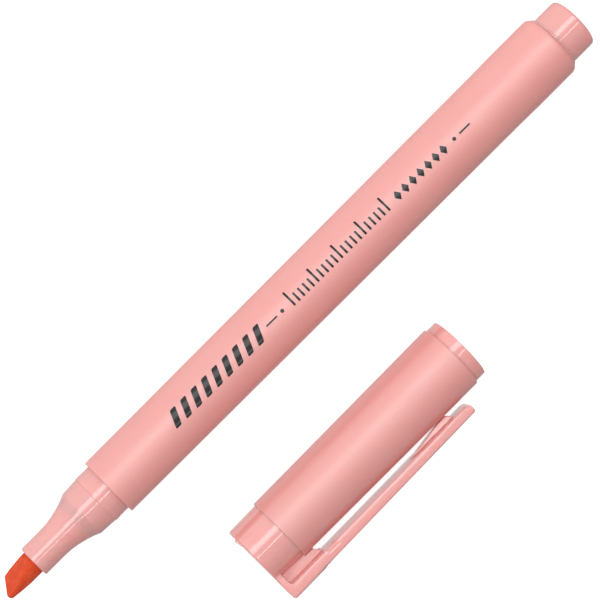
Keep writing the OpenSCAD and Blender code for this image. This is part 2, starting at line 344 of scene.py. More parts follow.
@dataclass(frozen=True)
class PrintedInk:
    """Thin pad-printed ink with an uneven gloss."""

    name: str
    colour: Colour
    thin: Colour              # colour where the ink is thin

    def make(self) -> bpy.types.Material:
        """Builds the material.

        Returns:
            The new material.
        """
        bench = NodeBench(self.name)
        bench.set(IOR=1.5, Specular_IOR_Level=0.5)
        patches = bench.noise((0.5, 0.5, 0.5), detail=4.0, roughness=0.65)
        specks = bench.noise((0.09, 0.09, 0.09), detail=2.0)
        bench.feed(bench.blend(bench.remap(patches, 0.0, 0.6, 0.45, 0.75), self.colour, self.thin),
                   "Base Color")
        bench.feed(bench.remap(patches, 0.09, 0.15), "Roughness")
        bench.bump([(specks, 0.15, 0.006)])
        return bench.material


@dataclass(frozen=True)
class ClearFilm:
    """Thin clear wrapping film with faint wrinkles."""

    name: str
    tint: Colour
    haze: Colour              # colour of the hazy patches

    def make(self) -> bpy.types.Material:
        """Builds the material.

        Returns:
            The new material.
        """
        bench = NodeBench(self.name)
        bench.set(IOR=1.49, Transmission_Weight=0.85)
        haze = bench.noise((6.0, 2.0, 2.0), detail=3.0)
        wrinkles = bench.noise((4.0, 0.5, 0.5), detail=3.0, distortion=1.2)
        bench.feed(bench.blend(bench.remap(haze, 0.0, 1.0), self.tint, self.haze), "Base Color")
        bench.feed(bench.remap(haze, 0.08, 0.3), "Roughness")
        bench.bump([(wrinkles, 0.3, 0.05)])
        return bench.material


@dataclass(frozen=True)
class TablePaper:
    """Matt white sheet of a light table."""

    name: str
    white: Colour
    shade: Colour             # colour of the faint tooth of the sheet
    glow: float               # light that comes through the sheet

    def make(self) -> bpy.types.Material:
        """Builds the material.

        Returns:
            The new material.
        """
        bench = NodeBench(self.name)
        bench.set(Emission_Color=WHITE, Emission_Strength=self.glow, Specular_IOR_Level=0.1)
        tooth = bench.noise((0.6, 0.6, 0.6), detail=4.0)
        bench.feed(bench.blend(bench.remap(tooth, 0.0, 1.0), self.white, self.shade), "Base Color")
        bench.feed(bench.remap(tooth, 0.85, 0.95), "Roughness")
        bench.bump([(tooth, 0.1, 0.02)])
        return bench.material


Finish = MouldedPlastic | InkedFibre | PrintedInk | ClearFilm | TablePaper


@dataclass
class Palette:
    """All finishes, each made once."""

    matt_shell: Finish = MouldedPlastic(
        "satin_pink_plastic",
        colour=(0.82, 0.300, 0.274), cloud=(0.81, 0.290, 0.264), rub=(0.84, 0.38, 0.35),
        gloss_low=0.38, gloss_high=0.45, grain_cell=0.11, grain_depth=0.012, grain_strength=0.30,
        scatter=0.5, ripple=0.05, ior=1.8, specular=0.95)
    gloss_shell: Finish = MouldedPlastic(
        "polished_pink_plastic",
        colour=(0.81, 0.340, 0.316), cloud=(0.80, 0.330, 0.306), rub=(0.84, 0.42, 0.40),
        gloss_low=0.09, gloss_high=0.13, grain_cell=0.3, grain_depth=0.006, grain_strength=0.03,
        scatter=0.5, ripple=0.015, ior=1.7, specular=0.9)
    seal: Finish = MouldedPlastic(
        "soft_seal_plastic",
        colour=(0.83, 0.62, 0.58), cloud=(0.80, 0.59, 0.55), rub=(0.86, 0.68, 0.65),
        gloss_low=0.38, gloss_high=0.5, grain_cell=0.2, grain_depth=0.01, grain_strength=0.2,
        scatter=0.5, ripple=0.05, specular=0.4)
    felt: Finish = InkedFibre(
        "inked_felt", wet=(0.58, 0.036, 0.006), dry=(0.76, 0.100, 0.028),
        strand=0.16, depth=0.06, scatter=0.2)
    fibre: Finish = InkedFibre(
        "inked_filler_fibre", wet=(0.78, 0.10, 0.05), dry=(0.90, 0.30, 0.2),
        strand=0.22, depth=0.08, scatter=0.2)
    ink: Finish = PrintedInk(
        "black_pad_print", colour=(0.006, 0.004, 0.004), thin=(0.016, 0.010, 0.010))
    film: Finish = ClearFilm(
        "clear_wrap_film", tint=(0.95, 0.93, 0.92), haze=(0.85, 0.82, 0.80))
    table: Finish = TablePaper(
        "white_table_sheet", white=(0.50, 0.50, 0.50), shade=(0.48, 0.48, 0.48), glow=0.8)
    made: dict[str, bpy.types.Material] = field(default_factory=dict)

    def of(self, finish: Finish) -> bpy.types.Material:
        """Gives a finish's material, and makes it on its first use.

        Args:
            finish: one of this palette's finishes.

        Returns:
            The material.
        """
        if finish.name not in self.made:
            self.made[finish.name] = finish.make()
        return self.made[finish.name]


# ---------------------------------------------------------------- shaping


@dataclass(frozen=True)
class Corner:
    """One corner of an outline, with the length of its rounding along either side."""

    x: float
    y: float
    rounding: float = 0.0


def outline(bm: bmesh.types.BMesh, corners: Sequence[Corner], closed: bool = True,
            steps: int = ROUND_STEPS) -> None:
    """Draws an outline in the XY plane and rounds its corners.

    Args:
        bm: the mesh to draw in.
        corners: the corners in order.
        closed: whether the last corner joins the first.
        steps: straight steps in each rounding.
    """
    points = [bm.verts.new((c.x, c.y, 0.0)) for c in corners]
    for first, second in zip(points, points[1:]):
        bm.edges.new((first, second))
    if closed:
        bm.edges.new((points[-1], points[0]))
    for corner, point in zip(corners, points):
        if corner.rounding > 0:
            bmesh.ops.bevel(bm, geom=[point], offset=corner.rounding, offset_type="OFFSET", segments=steps,
                            profile=0.5, affect="VERTICES", clamp_overlap=False, material=-1)
    bmesh.ops.remove_doubles(bm, verts=bm.verts[:], dist=WELD)


def turned(corners: Sequence[Corner], closed: bool = True, steps: int = TURN_STEPS) -> bmesh.types.BMesh:
    """Turns a profile about the X axis.

    Args:
        corners: the profile, x along the axis and y as the radius.
        closed: False for a profile that starts and ends on the axis.
        steps: straight steps round the axis.

    Returns:
        The closed solid.
    """
    bm = bmesh.new()
    outline(bm, corners, closed)
    bmesh.ops.spin(bm, geom=bm.verts[:] + bm.edges[:], cent=(0, 0, 0), axis=(1, 0, 0), dvec=(0, 0, 0),
                   angle=math.tau, steps=steps, use_merge=True, use_duplicate=False)
    bmesh.ops.remove_doubles(bm, verts=bm.verts[:], dist=WELD)
    bmesh.ops.recalc_face_normals(bm, faces=bm.faces[:])
    return bm


def slab(corners: Sequence[Corner], width: float) -> bmesh.types.BMesh:
    """Makes a slab of an outline, centred on the XY plane.

    Args:
        corners: the outline.
        width: the slab's thickness along Z.

    Returns:
        The closed solid.
    """
    bm = bmesh.new()
    outline(bm, corners)
    bmesh.ops.translate(bm, verts=bm.verts[:], vec=(0, 0, -width / 2))
    face = bmesh.ops.contextual_create(bm, geom=bm.edges[:])["faces"]
    raised = bmesh.ops.extrude_face_region(bm, geom=face)["geom"]
    top = [v for v in raised if isinstance(v, bmesh.types.BMVert)]
    bmesh.ops.translate(bm, verts=top, vec=(0, 0, width))
    bmesh.ops.recalc_face_normals(bm, faces=bm.faces[:])
    return bm


def shave(bm: bmesh.types.BMesh, point: Vector, normal: Vector) -> None:
    """Cuts a solid with a plane, drops what is on the normal's side and closes the cut.

    Args:
        bm: the solid.
        point: a point of the plane.
        normal: the plane's normal.
    """
    geom = bm.verts[:] + bm.edges[:] + bm.faces[:]
    bmesh.ops.bisect_plane(bm, geom=geom, dist=WELD, plane_co=point, plane_no=normal, clear_outer=True)
    bmesh.ops.holes_fill(bm, edges=[e for e in bm.edges if e.is_boundary], sides=0)


def slice_along(bm: bmesh.types.BMesh, axis: Vector, start: float, end: float, pitch: float) -> None:
    """Cuts the faces of a mesh into strips, so that it can bend.

    Args:
        bm: the mesh.
        axis: the unit vector that the cuts are square to.
        start: place of the first cut along the axis.
        end: place that the cuts don't pass.
        pitch: distance between the cuts.
    """
    for i in range(int((end - start) / pitch) + 1):
        geom = bm.verts[:] + bm.edges[:] + bm.faces[:]
        bmesh.ops.bisect_plane(bm, geom=geom, dist=WELD, plane_co=axis * (start + i * pitch), plane_no=axis)


def blank(bm: bmesh.types.BMesh) -> bpy.types.Object:
    """Puts a mesh in a scratch object, for modifiers to work on.

    Args:
        bm: the mesh, which is used up.

    Returns:
        The scratch object.
    """
    mesh = bpy.data.meshes.new("blank")
    bm.to_mesh(mesh)
    bm.free()
    scratch = bpy.data.objects.new("blank", mesh)
    bpy.context.scene.collection.objects.link(scratch)
    return scratch


def fused(solids: Sequence[bmesh.types.BMesh]) -> bmesh.types.BMesh:
    """Joins overlapping solids to one skin.

    Args:
        solids: the solids, which are used up.

    Returns:
        The joined solid.
    """
    objects = [blank(bm) for bm in solids]
    for other in objects[1:]:
        join = objects[0].modifiers.new("join", "BOOLEAN")
        join.operation = "UNION"
        join.solver = "EXACT"
        join.object = other
    return taken(objects)


def reskinned(bm: bmesh.types.BMesh, cell: float) -> bmesh.types.BMesh:
    """Gives a solid an even skin of small faces.

    Args:
        bm: the solid, which is used up.
        cell: size of a face in millimetres.

    Returns:
        The solid with its new skin.
    """
    core = blank(bm)
    skin = core.modifiers.new("skin", "REMESH")
    skin.mode = "VOXEL"
    skin.voxel_size = cell
    return taken([core])


def taken(objects: Sequence[bpy.types.Object]) -> bmesh.types.BMesh:
    """Takes the first object's finished mesh and removes all the objects.

    Args:
        objects: scratch objects, the first with the modifiers.

    Returns:
        The finished mesh.
    """
    bpy.context.view_layer.update()
    graph = bpy.context.evaluated_depsgraph_get()
    bm = bmesh.new()
    bm.from_object(objects[0], graph)
    for scratch in objects:
        mesh = scratch.data
        bpy.data.objects.remove(scratch)
        bpy.data.meshes.remove(mesh)
    return bm


def soften(bm: bmesh.types.BMesh, edges: Sequence[bmesh.types.BMEdge], size: float, steps: int) -> None:
    """Rounds or fillets edges.

    Args:
        bm: the solid.
        edges: the edges.
        size: length of the rounding on either side.
        steps: straight steps in the rounding.
    """
    bmesh.ops.bevel(bm, geom=list(edges), offset=size, offset_type="OFFSET", segments=steps, profile=0.5,
                    affect="EDGES", clamp_overlap=False, material=-1)
    bmesh.ops.remove_doubles(bm, verts=bm.verts[:], dist=WELD)


def sharp_edges(bm: bmesh.types.BMesh, degrees: float) -> list[bmesh.types.BMEdge]:
    """Edges whose two faces meet at more than an angle."""
    return [e for e in bm.edges if len(e.link_faces) == 2 and e.calc_face_angle(0.0) > math.radians(degrees)]


@dataclass(frozen=True)
class Placing:
    """Where a sub-assembly's frame lies in the shared frame."""

    origin: Vector            # in metres
    turn_deg: float = 0.0     # turn about the X axis

    def matrix(self) -> Matrix:
        """The transform from millimetres in the sub-assembly to metres in the shared frame."""
        turn = Matrix.Rotation(math.radians(self.turn_deg), 4, "X")
        return Matrix.Translation(self.origin) @ turn @ Matrix.Scale(MM, 4)


def add_piece(name: str, bm: bmesh.types.BMesh, placing: Placing, material: bpy.types.Material,
              replaces: Sequence[str] = (), sharp_deg: float = SHARP_DEG) -> bpy.types.Object:
    """Turns a finished mesh into a piece of the object.

    Args:
        name: the piece's name.
        bm: its mesh in millimetres, which is used up.
        placing: its sub-assembly's place.
        material: its material.
        replaces: the CAD nodes that it stands for.
        sharp_deg: angle past which an edge is shaded as an edge.

    Returns:
        The new object, which doesn't ride on a body yet.
    """
    bm.transform(placing.matrix())
    mesh = bpy.data.meshes.new(name)
    bm.to_mesh(mesh)
    bm.free()
    mesh.materials.append(material)
    mesh.shade_smooth()
    mesh.set_sharp_from_angle(angle=math.radians(sharp_deg))
    piece = bpy.data.objects.new(name, mesh)
    bpy.context.scene.collection.objects.link(piece)
    evened = piece.modifiers.new("even_shading", "WEIGHTED_NORMAL")
    evened.keep_sharp = True
    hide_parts(*replaces)
    LOG.info("%s: %d faces", name, len(mesh.polygons))
    return piece


def low_end(node: str) -> Vector:
    """Finds where a turned CAD node's axis meets its low end.

    Args:
        node: the node's name.

    Returns:
        The point, in metres.
    """
    low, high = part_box(node)
    radius = (high.y - low.y) / 2
    return Vector((low.x, low.y + radius, low.z + radius))


def dress_node(frame: dict, node: str, material: bpy.types.Material) -> None:
    """Gives a CAD node that is kept its finish.

    Args:
        node: the node's name.
        material: its material.
    """
    kept = frame["nodes"][node]
    kept.data.materials.clear()
    kept.data.materials.append(material)
    LOG.info("%s: kept from the frame", node)


# ---------------------------------------------------------------- pen


@dataclass
class Barrel:
    """The matt tube that is the pen's body, from x 0 at its front face."""

    palette: Palette
    length: float = 94.7
    front_r: float = 4.98
    bore_r: float = 4.335
    draft: float = 0.28           # growth of the radius up to the rear rise
    band_len: float = 9.2
    band_ramp: float = 2.0
    band_h: float = 0.06
    front_edge: float = 0.13
    shoulder_len: float = 0.75
    shoulder_drop: float = 0.58
    shoulder_round: float = 0.2
    shoulder_bend: float = 0.35   # share of the drop that two thirds of the shoulder take
    rear_edge: float = 0.04
    bore_edge: float = 0.08       # rounding of the bore's front edge
    bore_break: float = 0.2       # chamfer of its rear edge

    def placing(self) -> Placing:
        """The pen's frame: its origin is on the axis in the plane of the barrel's front face."""
        return Placing(low_end("barrel"))

    def radius(self, x: float) -> float:
        """Outer radius at a distance from the front face, ahead of the rear rise."""
        return self.front_r + self.draft * x / (self.length - self.band_len - self.band_ramp)

    def build(self) -> bpy.types.Object:
        """Makes the tube.

        Returns:
            The barrel.
        """
        rise = self.length - self.band_len - self.band_ramp
        band_r = self.front_r + self.draft + self.band_h
        bend_x = self.length - self.shoulder_len / 3
        bend_r = band_r - self.shoulder_drop * self.shoulder_bend
        profile = [
            Corner(0, self.bore_r, self.bore_edge), Corner(0, self.front_r, self.front_edge),
            Corner(rise, self.front_r + self.draft, self.band_ramp / 2),
            Corner(rise + self.band_ramp, band_r, self.band_ramp / 2),
            Corner(self.length - self.shoulder_len, band_r, self.shoulder_round),
            Corner(bend_x, bend_r, self.shoulder_round),
            Corner(self.length, band_r - self.shoulder_drop, self.rear_edge),
            Corner(self.length, self.bore_r + self.bore_break),
            Corner(self.length - self.bore_break, self.bore_r),
        ]
        piece = add_piece("barrel_shell", turned(profile), self.placing(),
                          self.palette.of(self.palette.matt_shell), ["barrel"])
        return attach(piece, Body.PEN.value)


@dataclass
class Section:
    """The glossy front end that holds the nib, with x 0 in the plane of the barrel's front face."""

    palette: Palette
    placing: Placing
    nozzle_r: float = 2.66
    nozzle_len: float = 4.2
    nozzle_bore_r: float = 2.02
    nozzle_edge: float = 0.24
    nozzle_bore_edge: float = 0.1
    flare_len: float = 5.9
    flare_share: float = 0.995    # share of the flare's tangents that its arc takes
    collar_r: float = 4.1         # at the collar's front edge
    collar_rear_r: float = 4.25
    collar_len: float = 2.82
    collar_edge: float = 0.07
    bead_r: float = 4.35
    bead_len: float = 1.05
    bead_ramp: float = 0.1        # length of the bead's rise on either side
    bead_round: float = 0.08
    bead_root: float = 0.04       # rounding at the foot of the bead
    neck_r: float = 4.3
    neck_len: float = 1.65
    spigot_r: float = 4.285
    spigot_len: float = 9.0
    spigot_edge: float = 0.2
    chamber_r: float = 3.555
    chamber_reach: float = 1.0
    chamber_round: float = 0.4

    def build(self) -> bpy.types.Object:
        """Makes the section as one turned shell.

        Returns:
            The section.
        """
        neck = -self.neck_len
        bead = neck - self.bead_len
        collar = bead - self.collar_len
        flare = collar - self.flare_len
        nozzle = flare - self.nozzle_len
        rise = self.collar_r - self.nozzle_r
        sweep = 2 * math.atan(rise / self.flare_len)
        tangent = math.hypot(rise, self.flare_len) / 2 / math.cos(sweep / 2)
        chamber = collar - self.chamber_reach
        funnel = (self.chamber_r - self.nozzle_bore_r) / 2
        profile = [
            Corner(nozzle, self.nozzle_bore_r, self.nozzle_bore_edge),
            Corner(nozzle, self.nozzle_r, self.nozzle_edge),
            Corner(flare + tangent, self.nozzle_r, tangent * self.flare_share),
            Corner(collar, self.collar_r, self.collar_edge),
            Corner(bead, self.collar_rear_r, self.bead_root),
            Corner(bead + self.bead_ramp, self.bead_r, self.bead_round),
            Corner(neck - self.bead_ramp, self.bead_r, self.bead_round),
            Corner(neck, self.neck_r, self.bead_root),
            Corner(0, self.neck_r), Corner(0, self.spigot_r),
            Corner(self.spigot_len, self.spigot_r, self.spigot_edge),
            Corner(self.spigot_len, self.chamber_r, self.spigot_edge),
            Corner(chamber, self.chamber_r, self.chamber_round),
            Corner(chamber - funnel, self.nozzle_bore_r, self.chamber_round),
        ]
        piece = add_piece("section_shell", turned(profile), self.placing,
                          self.palette.of(self.palette.gloss_shell), ["section"])
        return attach(piece, Body.PEN.value)


@dataclass
class Nib:
    """The chisel-tipped felt rod, from x 0 at its tip, in the plane of its chisel before its roll."""

    palette: Palette
    radius: float = 2.0
    slant_deg: float = 63.5       # angle of the chisel edge to the axis
    wedge_deg: float = 16.5       # angle of either flat to the middle plane
    land: float = 0.6             # width of the blunt land along the edge
    lead_round: float = 0.55      # rounding of the edge's leading end
    trail_round: float = 0.4      # rounding of its trailing end
    round_steps: int = 6          # straight steps in either rounding
    roll_deg: float = -51.0
    skin_cell: float = 0.1
    skin_passes: int = 3          # passes that smooth the skin
    tooth: float = 0.035          # depth of the felt's tooth
    tooth_pitch: Size3 = (0.7, 3.2, 3.2)      # noise cells to a millimetre along X, Y and Z
    sharp_deg: float = 80.0
    rod_steps: int = 72

    def chisel_planes(self) -> list[tuple[Vector, Vector]]:
        """Works out the planes that cut the rod to a chisel.

        Returns:
            A point and a normal for each plane.
        """
        slant = math.radians(self.slant_deg)
        spin = Matrix.Rotation(slant - math.pi / 2, 3, "Z")
        edge_normal = Vector((-math.sin(slant), math.cos(slant), 0))
        lead = Vector((self.lead_round, self.lead_round - self.radius, 0))
        on_edge = lead + edge_normal * self.lead_round
        trail = Vector((0, self.radius - self.trail_round, 0))
        trail.x = (edge_normal.y * trail.y + self.trail_round - edge_normal.dot(on_edge)) / math.sin(slant)
        across = 90 + self.slant_deg
        planes = [(on_edge, edge_normal)]
        for centre, first, last, size in ((lead, 270.0, across, self.lead_round),
                                          (trail, across, 90.0, self.trail_round)):
            for i in range(1, self.round_steps):
                angle = math.radians(first + (last - first) * i / self.round_steps)
                normal = Vector((math.cos(angle), math.sin(angle), 0))
                planes.append((centre + normal * size, normal))
        wedge = math.radians(self.wedge_deg)
        foot = on_edge.x - on_edge.y / math.tan(slant)
        for side in (1, -1):
            normal = spin @ Vector((-math.sin(wedge), 0, side * math.cos(wedge)))
            planes.append((Vector((foot, 0, side * self.land / 2)), normal))
        return planes

    def build(self) -> bpy.types.Object:
        """Cuts the rod, gives it a soft skin and the tooth of felt.

        Returns:
            The nib.
        """
        low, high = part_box("nib")
        length = (high.x - low.x) / MM
        bm = bmesh.new()
        upright = Matrix.Translation((length / 2, 0, 0)) @ Matrix.Rotation(math.pi / 2, 4, "Y")
        bmesh.ops.create_cone(bm, cap_ends=True, segments=self.rod_steps, radius1=self.radius,
                              radius2=self.radius, depth=length, matrix=upright)
        for point, normal in self.chisel_planes():
            shave(bm, point, normal)
        bm = reskinned(bm, self.skin_cell)
        for _ in range(self.skin_passes):
            bmesh.ops.smooth_vert(bm, verts=bm.verts[:], factor=0.5, use_axis_x=True, use_axis_y=True,
                                  use_axis_z=True)
        bm.normal_update()
        for vert in bm.verts:
            depth = 0.5 - 0.5 * noise.fractal(vert.co * Vector(self.tooth_pitch), 1.0, 2.0, 3)
            vert.co -= vert.normal * self.tooth * min(1.0, max(0.0, depth))
        tip = low_end("barrel")
        tip.x = low.x
        piece = add_piece("felt_nib", bm, Placing(tip, self.roll_deg), self.palette.of(self.palette.felt),
                          ["nib"], sharp_deg=self.sharp_deg)
        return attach(piece, Body.PEN.value)


@dataclass
class TailPlug:
    """The plug that closes the rear of the barrel, from x 0 at the barrel's rear end."""

    palette: Palette
    placing: Placing
    stub_len: float = 8.0
    stub_r: float = 4.305
    stub_edge: float = 0.25
    wall: float = 0.9
    bore_edge: float = 0.15
    bore_round: float = 0.4       # rounding at the bottom of the bore
    rim_r: float = 4.73
    rim_len: float = 0.3
    rim_edge: float = 0.22
    rim_back: float = 0.03        # rounding of the rim against the barrel
    plug_r: float = 4.35
    plug_len: float = 4.5
    plug_root: float = 0.08       # fillet between rim and plug
    end_round: float = 0.6
    dish: float = 0.08            # depth of the shallow dish in the end face
    dish_r: float = 3.1
    dish_ramp: float = 0.4        # width of the dish's slope
    dish_round: float = 0.3

    def build(self) -> bpy.types.Object:
        """Makes the hollow plug.

        Returns:
            The tail plug.
        """
        tail = self.rim_len + self.plug_len
        bore_r = self.stub_r - self.wall
        profile = [
            Corner(tail - self.wall, 0), Corner(tail - self.wall, bore_r, self.bore_round),
            Corner(-self.stub_len, bore_r, self.bore_edge),
            Corner(-self.stub_len, self.stub_r, self.stub_edge),
            Corner(0, self.stub_r), Corner(0, self.rim_r, self.rim_back),
            Corner(self.rim_len, self.rim_r, self.rim_edge),
            Corner(self.rim_len, self.plug_r, self.plug_root),
            Corner(tail, self.plug_r, self.end_round), Corner(tail, self.dish_r, self.dish_round),
            Corner(tail - self.dish, self.dish_r - self.dish_ramp, self.dish_round),
            Corner(tail - self.dish, 0),
        ]
        piece = add_piece("tail_plug_shell", turned(profile, closed=False), self.placing,
                          self.palette.of(self.palette.gloss_shell), ["tail_plug"])
        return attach(piece, Body.PEN.value)


class Mark(Enum):
    """The plain shapes that the print is made of."""

    BAR = "bar"
    DOT = "dot"
    DIAMOND = "diamond"


@dataclass(frozen=True)
class MarkRow:
    """A row of equal marks along the barrel; places and sizes in millimetres."""

    name: str
    shape: Mark
    start: float                  # middle of the first mark from the barrel's front face
    count: int
    pitch: float
    length: float                 # size along the barrel
    height: float                 # size round the barrel
    lean_deg: float = 0.0         # lean of a bar
    tall_every: int = 0           # every so many marks, one is taller
    tall_height: float = 0.0


@dataclass
class Print:
    """The black print on the barrel: plain bars, ticks, dots and diamonds in place of any wording."""

    palette: Palette
    barrel: Barrel
    turn_deg: float = 8.9         # turn of the print from straight up towards +Y
    lift: float = 0.012           # height of the ink over the barrel
    thickness: float = 0.03
    strip: float = 0.16           # width of the strips that let the ink bend
    corner_share: float = 0.22    # rounding of a bar's corners, as a share of its narrower side
    corner_steps: int = 4
    dot_sides: int = 28
    rows: tuple[MarkRow, ...] = (
        MarkRow("print_hatch", Mark.BAR, start=14.3, count=9, pitch=2.16, length=1.1, height=2.7,
                lean_deg=24.0),
        MarkRow("print_front_dash", Mark.BAR, start=34.4, count=1, pitch=1.0, length=2.2, height=0.27),
        MarkRow("print_front_dot", Mark.DOT, start=36.6, count=1, pitch=1.0, length=0.62, height=0.62),
        MarkRow("print_scale", Mark.BAR, start=38.6, count=21, pitch=1.0, length=0.34, height=1.6,
                tall_every=5, tall_height=2.7),
        MarkRow("print_diamonds", Mark.DIAMOND, start=61.0, count=7, pitch=1.62, length=1.2, height=1.7),
        MarkRow("print_rear_dot", Mark.DOT, start=73.0, count=1, pitch=1.0, length=0.62, height=0.62),
        MarkRow("print_rear_dash", Mark.BAR, start=75.2, count=1, pitch=1.0, length=2.2, height=0.27),
    )

    def add_mark(self, bm: bmesh.types.BMesh, row: MarkRow, index: int) -> None:
        """Adds one flat mark.

        Args:
            bm: the mesh to add to; x runs along the barrel and y round it.
            row: the mark's row.
            index: the mark's number in the row.
        """
        tall = row.tall_every > 0 and index % row.tall_every == 0
        height = row.tall_height if tall else row.height
        place = Matrix.Translation((row.start + index * row.pitch, (height - row.height) / 2, 0))
        if row.shape is Mark.BAR:
            shear = Matrix.Identity(4)
            shear[0][1] = math.tan(math.radians(row.lean_deg))
            shape = place @ shear @ Matrix.Diagonal((row.length, height, 1, 1))
            made = bmesh.ops.create_grid(bm, x_segments=1, y_segments=1, size=0.5, matrix=shape)
            bmesh.ops.bevel(bm, geom=made["verts"], offset=min(row.length, height) * self.corner_share,
                            offset_type="OFFSET", segments=self.corner_steps, profile=0.5,
                            affect="VERTICES", clamp_overlap=False, material=-1)
            return
        sides = self.dot_sides if row.shape is Mark.DOT else 4
        size = Matrix.Diagonal((row.length / 2, height / 2, 1, 1))
        bmesh.ops.create_circle(bm, cap_ends=True, segments=sides, radius=1.0, matrix=place @ size)

    def build(self) -> list[bpy.types.Object]:
        """Makes each row of marks and wraps it round the barrel.

        Returns:
            The printed rows.
        """
        return [self.build_row(row) for row in self.rows]

    def build_row(self, row: MarkRow) -> bpy.types.Object:
        """Makes one row.

        Args:
            row: the row.

        Returns:
            The printed row.
        """
        bm = bmesh.new()
        for index in range(row.count):
            self.add_mark(bm, row, index)
        half = max(row.height, row.tall_height)
        slice_along(bm, Vector((0, 1, 0)), -half, half, self.strip)
        middle = math.radians(self.turn_deg)
        for vert in bm.verts:
            radius = self.barrel.radius(vert.co.x)
            angle = middle + vert.co.y / radius
            radius += self.lift
            vert.co.y = math.sin(angle) * radius
            vert.co.z = math.cos(angle) * radius
        bmesh.ops.recalc_face_normals(bm, faces=bm.faces[:])
        flipped = [f for f in bm.faces if f.normal.z < 0]
        bmesh.ops.reverse_faces(bm, faces=flipped)
        bmesh.ops.solidify(bm, geom=bm.faces[:], thickness=self.thickness)
        piece = add_piece(row.name, bm, self.barrel.placing(), self.palette.of(self.palette.ink))
        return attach(piece, Body.PEN.value)


@dataclass
class Pen:
    """The pen: barrel, section, nib, filler, tail plug and print."""

    palette: Palette

    def build(self, frame: dict) -> None:
        """Makes and dresses the pen's pieces.
        """
        barrel = Barrel(self.palette)
        barrel.build()
        Section(self.palette, barrel.placing()).build()
        Nib(self.palette).build()
        rear = Vector(barrel.placing().origin)
        rear.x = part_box("barrel")[1].x
        TailPlug(self.palette, Placing(rear)).build()
        Print(self.palette, barrel).build()
        dress_node(frame, "filler_core", self.palette.of(self.palette.fibre))
        dress_node(frame, "filler_film", self.palette.of(self.palette.film))


# ---------------------------------------------------------------- cap


@dataclass
class Cap:
    """The cap's tube, from x 0 at the crown's end face: matt sleeve, glossy liner and soft seal cup."""

    palette: Palette
    crown_len: float = 5.67
    sleeve_len: float = 36.78
    sleeve_bore_r: float = 4.95
    sleeve_r0: float = 5.43
    sleeve_r1: float = 5.62
    joint_edge: float = 0.08      # rounding at the crown
    sleeve_edge: float = 0.16     # rounding at the mouth
    cap_len: float = 44.38
    ring_len: float = 1.7
    ring_r: float = 5.34
    ring_round: float = 0.16
    ring_back: float = 0.06       # rounding of the ring against the groove
    mouth_round: float = 0.22     # rounding of the bore's edge at the mouth
    liner_bore_r: float = 4.38
    liner_r: float = 4.92
    liner_edge: float = 0.15
    shelf_r: float = 5.28         # floor of the groove between sleeve and ring
    shelf_gap: float = 0.01       # gap between the sleeve's end and the shelf
    seal_front: float = 31.76
    seal_back: float = 20.51
    seal_bore_r: float = 2.68
    seal_r: float = 3.38
    seal_wall: float = 0.7
    ledge_t: float = 0.8
    ledge_r: float = 2.93
    flange_t: float = 1.0
    flange_r: float = 4.35
    step_round: float = 0.1       # rounding of the steps inside the cap
    ledge_root: float = 0.05
    cup_edge: float = 0.3
    cup_round: float = 0.5        # rounding at the bottom of the cup's bore
    floor_round: float = 0.4
    flange_root: float = 0.25
    cup_steps: int = 96

    def placing(self) -> Placing:
        """The cap's frame: its origin is on the axis in the plane of the crown's end face."""
        return Placing(low_end("cap_sleeve") - Vector((self.crown_len * MM, 0, 0)))

    def build(self) -> None:
        """Makes and dresses the three turned pieces."""
        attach(self.sleeve(), Body.CAP.value)
        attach(self.liner(), Body.CAP.value)
        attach(self.seal_cup(), Body.CAP.value)

    def sleeve(self) -> bpy.types.Object:
        """Makes the matt sleeve.

        Returns:
            The sleeve.
        """
        end = self.crown_len + self.sleeve_len
        profile = [
            Corner(self.crown_len, self.sleeve_bore_r),
            Corner(self.crown_len, self.sleeve_r0, self.joint_edge),
            Corner(end, self.sleeve_r1, self.sleeve_edge), Corner(end, self.sleeve_bore_r),
        ]
        return add_piece("cap_sleeve_shell", turned(profile), self.placing(),
                         self.palette.of(self.palette.matt_shell), ["cap_sleeve"])

    def liner(self) -> bpy.types.Object:
        """Makes the liner with the glossy ring at the mouth.

        Returns:
            The liner.
        """
        ring = self.cap_len - self.ring_len
        groove = self.crown_len + self.sleeve_len + self.shelf_gap
        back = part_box("cap_liner")[0].x / MM - self.placing().origin.x / MM
        ledge = self.seal_front - self.ledge_t
        profile = [
            Corner(back, self.liner_bore_r, self.step_round), Corner(back, self.liner_r, self.liner_edge),
            Corner(groove, self.liner_r), Corner(groove, self.shelf_r),
            Corner(ring, self.shelf_r), Corner(ring, self.ring_r, self.ring_back),
            Corner(self.cap_len, self.ring_r, self.ring_round),
            Corner(self.cap_len, self.liner_bore_r, self.mouth_round),
            Corner(self.seal_front, self.liner_bore_r, self.step_round),
            Corner(self.seal_front, self.ledge_r, self.step_round),
            Corner(ledge, self.ledge_r, self.step_round), Corner(ledge, self.liner_bore_r, self.ledge_root),
        ]
        return add_piece("cap_liner_shell", turned(profile), self.placing(),
                         self.palette.of(self.palette.gloss_shell), ["cap_liner"])

    def seal_cup(self) -> bpy.types.Object:
        """Makes the soft cup that seals round the nozzle.

        Returns:
            The seal cup.
        """
        flange = self.seal_front - self.ledge_t
        floor = self.seal_back - self.seal_wall
        profile = [
            Corner(floor, 0), Corner(floor, self.seal_r, self.floor_round),
            Corner(flange - self.flange_t, self.seal_r, self.flange_root),
            Corner(flange - self.flange_t, self.flange_r, self.step_round),
            Corner(flange, self.flange_r, self.step_round), Corner(flange, self.seal_bore_r, self.cup_edge),
            Corner(self.seal_back, self.seal_bore_r, self.cup_round), Corner(self.seal_back, 0),
        ]
        return add_piece("seal_cup_shell", turned(profile, closed=False, steps=self.cup_steps),
                         self.placing(), self.palette.of(self.palette.seal), ["seal_cup"])


